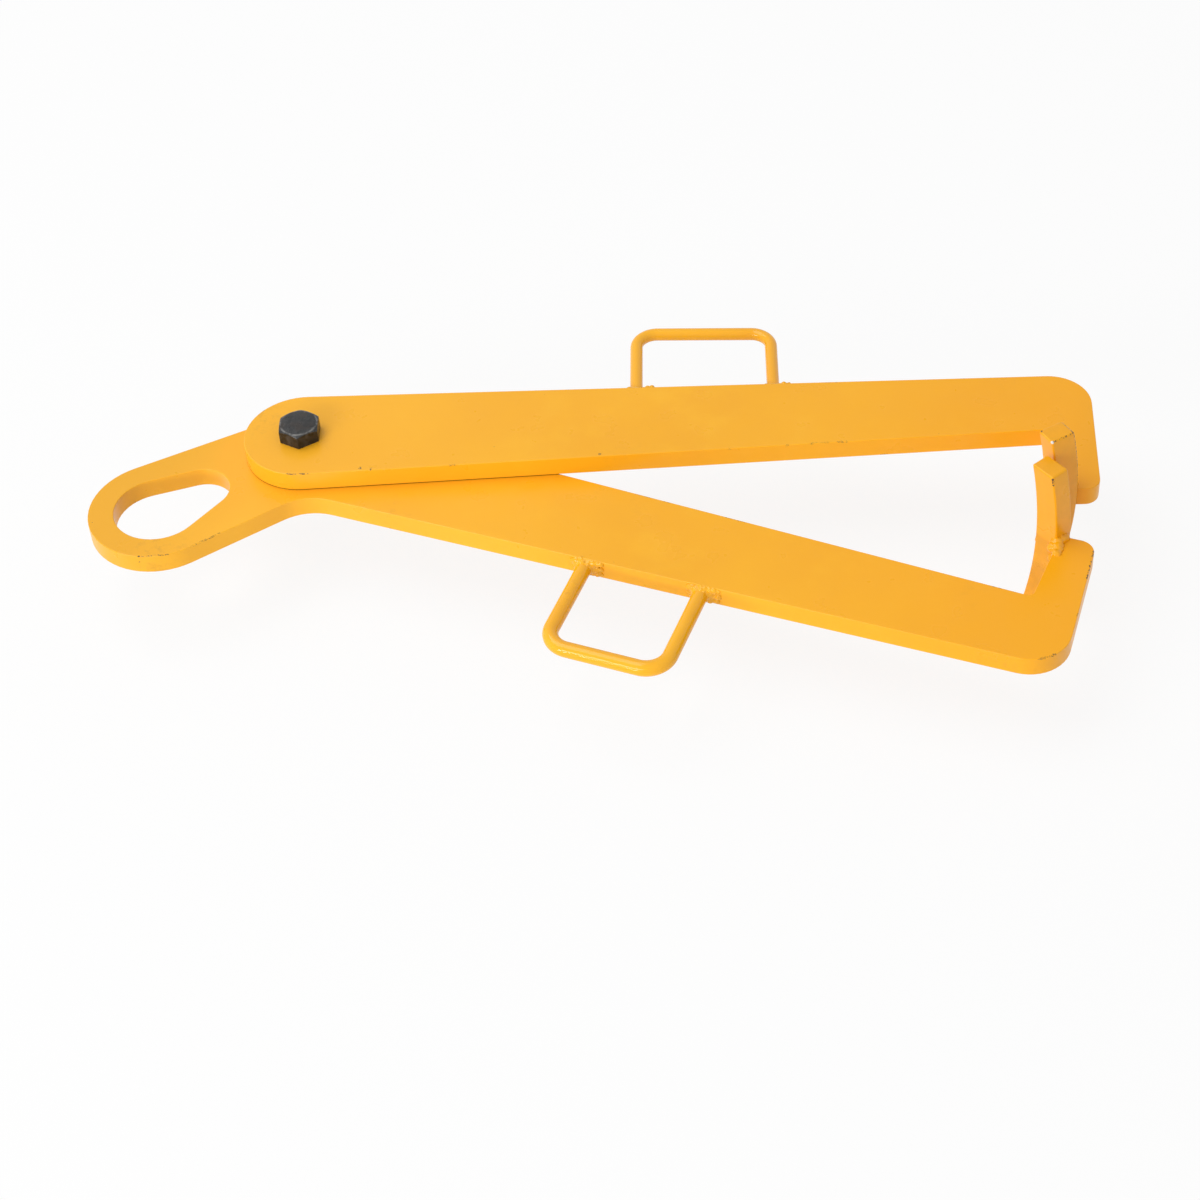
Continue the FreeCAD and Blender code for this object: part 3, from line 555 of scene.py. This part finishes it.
def jaw_lumps(side):
    """A ridge of weld along a jaw's far face, over and under the plate, with a heap at its end."""
    lumps = []
    for face in (1, -1):
        height = PLATE_MIDDLE_Z[side] + face * (HALF_PLATE - RIDGE_SINK)
        for index in range(RIDGE_COUNT):
            share = RIDGE_START + (1.0 - RIDGE_START) * index / (RIDGE_COUNT - 1)
            place = by_jaw(side, JAW_WIDTH, share * JAW_THICKNESS, height)
            lumps.append(lump(place, RIDGE_RADIUS, RIDGE_UNEVEN))
    height = PLATE_MIDDLE_Z[side] + HALF_PLATE - HEAP_SINK
    for past_width, past_thickness, radius in HEAP_LUMPS:
        place = by_jaw(side, JAW_WIDTH + past_width, JAW_THICKNESS + past_thickness, height)
        lumps.append(lump(place, radius, HEAP_UNEVEN))
    return lumps


def add_bead(side, weld, lumps):
    """A lumpy bead in place of one of the plain welds."""
    add_piece(f"{weld}_bead", melted(lumps), weld_paint, ARM_BODY[side], weld)


for side in (UPPER, LOWER):
    for end, leg in HANDLE_LEGS[side].items():
        add_bead(side, f"{SIDE_NAME[side]}_handle_weld_{end}", leg_lumps(side, leg))
    add_bead(side, f"{SIDE_NAME[side]}_jaw_weld", jaw_lumps(side))


# The bolt, with a chamfered head and a cut thread

HEAD_TURN = math.radians(71.0)
HEAD_HALF_WIDTH = 15.0 * MM
HEAD_CORNER = 0.7 * MM
HEAD_LAND = 14.25 * MM
HEAD_CHAMFER = math.tan(math.radians(30.0))
HEAD_TOP_Z = 36.8 * MM
HEAD_BASE_Z = 24.3 * MM
HEAD_MIDDLE = 4.0 * MM
HEAD_SOFTNESS = 0.3 * MM
SHANK_RADIUS = 10.0 * MM
THREAD_START_Z = -24.0 * MM
THREAD_PITCH = 2.5 * MM
THREAD_DEPTH = 1.3 * MM
THREAD_ROWS = 60
BOLT_END_Z = -36.0 * MM
END_CHAMFER = 1.5 * MM
SHARP_ANGLE = math.radians(28.0)
SIXTH_TURN = math.radians(60.0)
# Degrees within one sixth of a turn, closer together at the hexagon's corners
SIXTH_STEPS = [-30.0, -29.4, -28.6, -24.0, -16.0, -8.0, 0.0, 8.0, 16.0, 24.0, 28.6, 29.4]
TURNS = [math.radians(60.0 * sixth + step) for sixth in range(6) for step in SIXTH_STEPS]


def hexagon_radius(turn):
    """Distance from the axis to a hexagon with slightly rounded corners."""
    half_side = SIXTH_TURN / 2.0
    off_flat = abs((turn + half_side) % SIXTH_TURN - half_side)
    flat_end = math.atan((HEAD_HALF_WIDTH - HEAD_CORNER) * math.tan(half_side) / HEAD_HALF_WIDTH)
    if off_flat <= flat_end:
        return HEAD_HALF_WIDTH / math.cos(off_flat)
    corner = (HEAD_HALF_WIDTH - HEAD_CORNER) / math.cos(half_side)
    off_corner = half_side - off_flat
    return corner * math.cos(off_corner) + math.sqrt(HEAD_CORNER ** 2 - (corner * math.sin(off_corner)) ** 2)


def chamfer_z(radius):
    """Height of the head's chamfer cone at a distance from the axis."""
    return HEAD_TOP_Z - max(0.0, radius - HEAD_LAND) * HEAD_CHAMFER


def thread_radius(turn, height):
    """Distance from the axis to a right-hand thread, cut down to the chamfer at its end."""
    phase = (height / THREAD_PITCH - turn / (2.0 * math.pi)) % 1.0
    groove = THREAD_DEPTH * (1.0 - abs(2.0 * phase - 1.0))
    end_cone = SHANK_RADIUS - END_CHAMFER + (height - BOLT_END_Z)
    return min(SHANK_RADIUS - groove, end_cone)


def bolt_rings():
    """Rings from the head's middle down to the bolt's end, each point a radius and a height."""
    soft = HEAD_SOFTNESS
    rings = [
        [(HEAD_MIDDLE, HEAD_TOP_Z) for turn in TURNS],
        [(HEAD_LAND - soft, HEAD_TOP_Z) for turn in TURNS],
        [(HEAD_LAND + soft, chamfer_z(HEAD_LAND + soft)) for turn in TURNS],
        [(hexagon_radius(turn) - soft, chamfer_z(hexagon_radius(turn) - soft)) for turn in TURNS],
        [(hexagon_radius(turn), chamfer_z(hexagon_radius(turn)) - soft) for turn in TURNS],
        [(hexagon_radius(turn), HEAD_BASE_Z + soft) for turn in TURNS],
        [(hexagon_radius(turn) - soft, HEAD_BASE_Z) for turn in TURNS],
        [(SHANK_RADIUS, HEAD_BASE_Z) for turn in TURNS],
        [(SHANK_RADIUS, THREAD_START_Z) for turn in TURNS],
    ]
    for row in range(THREAD_ROWS + 1):
        height = THREAD_START_Z + (BOLT_END_Z - THREAD_START_Z) * row / THREAD_ROWS
        rings.append([(thread_radius(turn, height), height) for turn in TURNS])
    return rings


def bolt_mesh():
    """The bolt's rings joined to one closed skin."""
    shape = bmesh.new()
    axis = Vector((PIVOT.x, PIVOT.y, 0.0))
    corners = []
    for ring in bolt_rings():
        row = []
        for turn, (radius, height) in zip(TURNS, ring):
            place = Vector((radius * math.cos(turn + HEAD_TURN), radius * math.sin(turn + HEAD_TURN), height))
            row.append(shape.verts.new(place + axis))
        corners.append(row)
    for upper, lower in zip(corners, corners[1:]):
        for index in range(len(TURNS)):
            after = (index + 1) % len(TURNS)
            shape.faces.new((upper[index], lower[index], lower[after], upper[after]))
    shape.faces.new(corners[0])
    shape.faces.new(list(reversed(corners[-1])))
    mesh = bpy.data.meshes.new("pivot_bolt_detail")
    shape.to_mesh(mesh)
    shape.free()
    mesh.shade_smooth()
    mesh.set_sharp_from_angle(angle=SHARP_ANGLE)
    return mesh


add_piece("pivot_bolt_detail", bolt_mesh(), black_bolt, "eye_arm", "pivot_bolt")


# The floor, the light and the camera

FLOOR_RADIUS = 6.0
FLOOR_SIDES = 96
FLOOR_MIDDLE = Vector((0.3, 0.1, cad_box[0][2] - 0.2 * MM))
FLOOR_GREY = (0.88, 0.88, 0.88, 1)
FLOOR_GLOW = 0.87
ROOM_LEVEL = 0.54
LAMP_AIM = Vector((0.32, 0.08, 0.0))


def seen_rays(tree):
    """1 for rays from the camera, a reflection or a clear piece, and 0 for rays that light the object."""
    path = tree.nodes.new("ShaderNodeLightPath")
    seen = path.outputs["Is Camera Ray"]
    for kind in ("Is Glossy Ray", "Is Transmission Ray"):
        either = tree.nodes.new("ShaderNodeMath")
        either.operation = "MAXIMUM"
        tree.links.new(seen, either.inputs[0])
        tree.links.new(path.outputs[kind], either.inputs[1])
        seen = either.outputs[0]
    return seen


def floor_material():
    """White floor. The camera and reflections see it lifted towards white, with the shadow kept faint."""
    material = bpy.data.materials.new("white_floor")
    material.use_nodes = True
    tree = material.node_tree
    tree.nodes.clear()
    output = tree.nodes.new("ShaderNodeOutputMaterial")
    matt = tree.nodes.new("ShaderNodeBsdfDiffuse")
    matt.inputs["Color"].default_value = FLOOR_GREY
    glow = tree.nodes.new("ShaderNodeEmission")
    glow.inputs["Color"].default_value = WHITE
    glow.inputs["Strength"].default_value = 1.0
    share = tree.nodes.new("ShaderNodeMath")
    share.operation = "MULTIPLY"
    share.inputs[1].default_value = FLOOR_GLOW
    mixed = tree.nodes.new("ShaderNodeMixShader")
    tree.links.new(seen_rays(tree), share.inputs[0])
    tree.links.new(share.outputs[0], mixed.inputs[0])
    tree.links.new(matt.outputs[0], mixed.inputs[1])
    tree.links.new(glow.outputs[0], mixed.inputs[2])
    tree.links.new(mixed.outputs[0], output.inputs["Surface"])
    return material


floor_shape = bmesh.new()
bmesh.ops.create_circle(floor_shape, cap_ends=True, segments=FLOOR_SIDES, radius=FLOOR_RADIUS)
floor_mesh = bpy.data.meshes.new("floor")
floor_shape.to_mesh(floor_mesh)
floor_shape.free()
floor_mesh.materials.append(floor_material())
floor = bpy.data.objects.new("floor", floor_mesh)
floor.location = FLOOR_MIDDLE
bpy.context.scene.collection.objects.link(floor)


def light_world(level):
    """An even white room that lights the object at a level, and is plain white where it is seen."""
    world = bpy.data.worlds.new("white_room")
    bpy.context.scene.world = world
    world.use_nodes = True
    tree = world.node_tree
    tree.nodes.clear()
    output = tree.nodes.new("ShaderNodeOutputWorld")
    room = tree.nodes.new("ShaderNodeBackground")
    room.inputs["Color"].default_value = WHITE
    room.inputs["Strength"].default_value = level
    seen_room = tree.nodes.new("ShaderNodeBackground")
    seen_room.inputs["Color"].default_value = WHITE
    seen_room.inputs["Strength"].default_value = 1.0
    mixed = tree.nodes.new("ShaderNodeMixShader")
    tree.links.new(seen_rays(tree), mixed.inputs[0])
    tree.links.new(room.outputs[0], mixed.inputs[1])
    tree.links.new(seen_room.outputs[0], mixed.inputs[2])
    tree.links.new(mixed.outputs[0], output.inputs["Surface"])


def add_softbox(name, azimuth, elevation, distance, width, height, level):
    """A soft lamp aimed at the object's middle. Alone it makes a white card that faces it `level` bright."""
    turn, lift = math.radians(azimuth), math.radians(elevation)
    away = Vector((math.cos(lift) * math.cos(turn), math.cos(lift) * math.sin(turn), math.sin(lift)))
    lamp = bpy.data.lights.new(name, "AREA")
    lamp.shape = "RECTANGLE"
    lamp.size = width
    lamp.size_y = height
    lamp.energy = level * (math.pi * distance) ** 2
    holder = bpy.data.objects.new(name, lamp)
    holder.location = LAMP_AIM + away * distance
    holder.rotation_euler = away.to_track_quat("Z", "Y").to_euler()
    bpy.context.scene.collection.objects.link(holder)


light_world(ROOM_LEVEL)
add_softbox("left_softbox", azimuth=172.0, elevation=64.0, distance=3.8, width=3.2, height=2.6, level=0.425)
add_softbox("front_softbox", azimuth=246.0, elevation=22.0, distance=3.6, width=2.5, height=0.7, level=0.32)
add_softbox("low_strip", azimuth=240.0, elevation=3.0, distance=2.2, width=1.6, height=0.06, level=0.22)

# The camera stands as the photograph's perspective says, worked out from the arms' straight edges
CAMERA_LIFT = math.radians(43.36)
CAMERA_ROLL = math.radians(-2.37)
CAMERA_TURN = math.radians(11.08)
FOCAL_PIXELS = 2600.0
IMAGE_PIXELS = 1200.0
AXIS_PIXEL = (672.81, 537.34)
PIVOT_PIXEL = (303.098, 450.494)
METRES_PER_PIXEL = 0.78329 * MM
SENSOR = 36.0

back = Vector((0.0, -math.cos(CAMERA_LIFT), math.sin(CAMERA_LIFT)))
level_right = Vector((1.0, 0.0, 0.0))
level_up = back.cross(level_right)
right = math.cos(CAMERA_ROLL) * level_right + math.sin(CAMERA_ROLL) * level_up
upward = back.cross(right)
from_pivot = ((AXIS_PIXEL[0] - PIVOT_PIXEL[0]) * right + (PIVOT_PIXEL[1] - AXIS_PIXEL[1]) * upward
              + FOCAL_PIXELS * back) * METRES_PER_PIXEL
spin = Matrix.Rotation(CAMERA_TURN, 4, "Z")
pivot_top = Vector((PIVOT.x, PIVOT.y, HALF_PLATE))
view_axes = Matrix((right, upward, back)).transposed().to_4x4()
view_axes.translation = from_pivot

camera_data = bpy.data.cameras.new("photo_camera")
camera_data.sensor_width = SENSOR
camera_data.lens = FOCAL_PIXELS / IMAGE_PIXELS * SENSOR
camera_data.shift_x = (IMAGE_PIXELS / 2.0 - AXIS_PIXEL[0]) / IMAGE_PIXELS
camera_data.shift_y = (AXIS_PIXEL[1] - IMAGE_PIXELS / 2.0) / IMAGE_PIXELS
camera = bpy.data.objects.new("photo_camera", camera_data)
camera.matrix_world = Matrix.Translation(pivot_top) @ spin @ view_axes
bpy.context.scene.collection.objects.link(camera)
bpy.context.scene.camera = camera
bpy.context.scene.view_settings.view_transform = "Standard"
